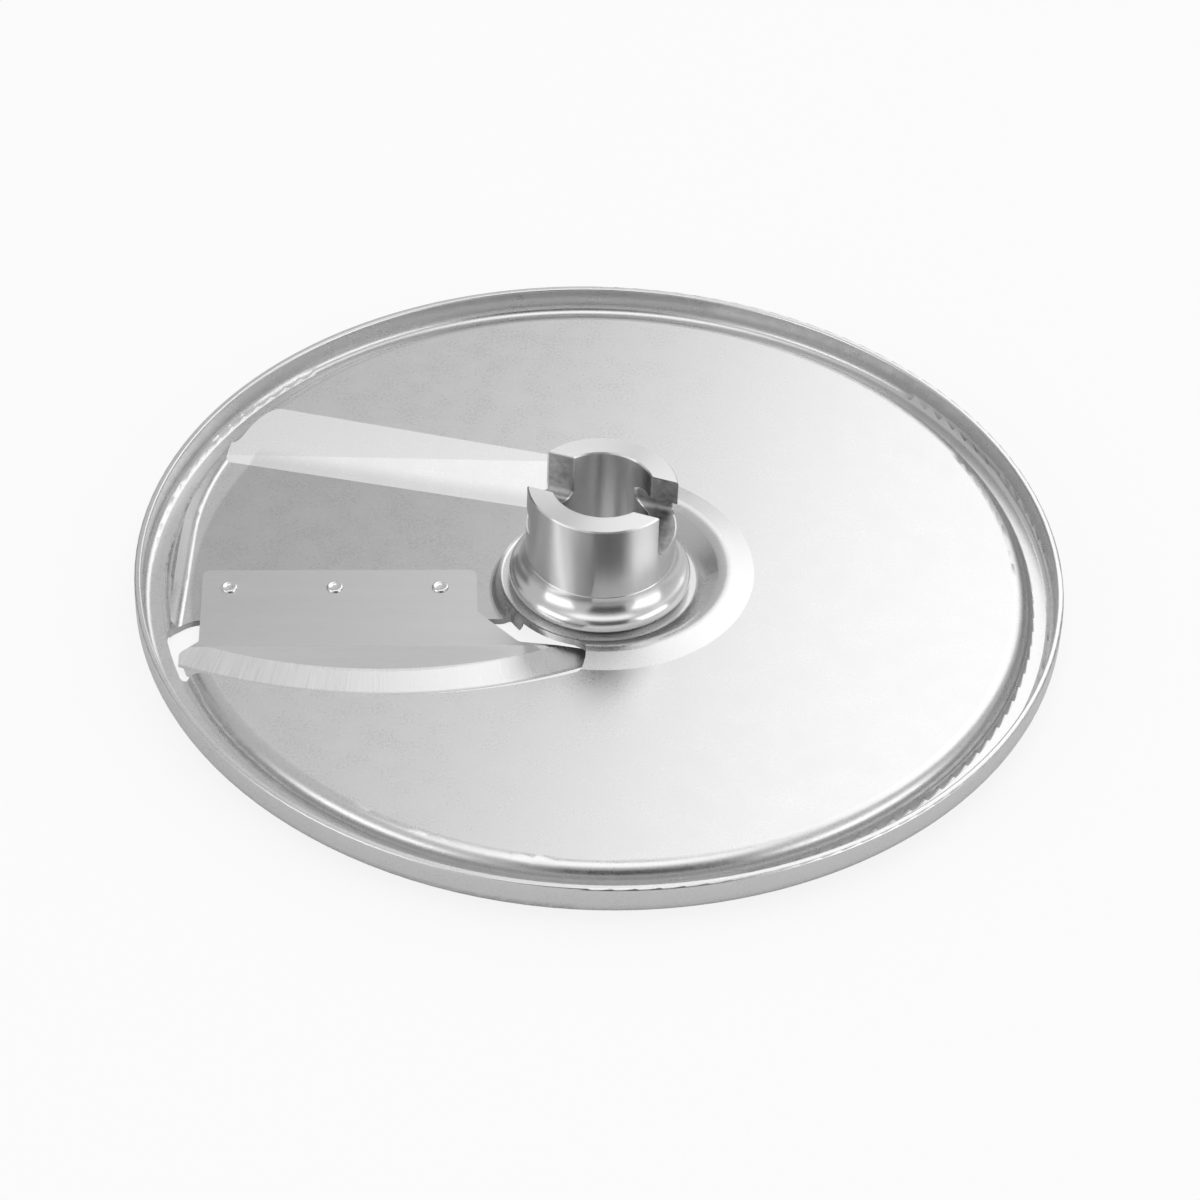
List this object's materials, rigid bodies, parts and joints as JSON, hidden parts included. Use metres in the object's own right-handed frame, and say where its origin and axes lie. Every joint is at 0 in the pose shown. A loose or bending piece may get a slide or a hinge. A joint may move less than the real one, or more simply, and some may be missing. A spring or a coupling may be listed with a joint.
{
  "type": "food processor slicing plate",
  "caption": "Round pressed-steel slicing plate with a rolled rim, a ramped recess that holds a riveted curved blade, and a slotted drive hub.",
  "frame": {"origin": "on the hub's axis, in the plane of the recess's lower face, which is the lowest face of the plate", "axes": "+Z along the hub's axis, out of the bore's mouth on the coupling side; +X to the right and -Y towards the viewer in the picture, with the blade on the -X side"},
  "size_m": [0.205, 0.205, 0.0316],
  "materials": {
    "disc_steel": "satin stainless sheet, fine even grain",
    "hub_steel": "turned stainless, polished",
    "blade_steel": "ground stainless blade steel, brushed flat and a bright bevel",
    "rivet_steel": "upset stainless rivets, satin"
  },
  "bodies": {
    "root": {"slicing_disc": "disc_steel", "drive_hub": "hub_steel", "cutting_blade": "blade_steel", "blade_rivet_1": "rivet_steel", "blade_rivet_2": "rivet_steel", "blade_rivet_3": "rivet_steel"}
  },
  "joints": []
}
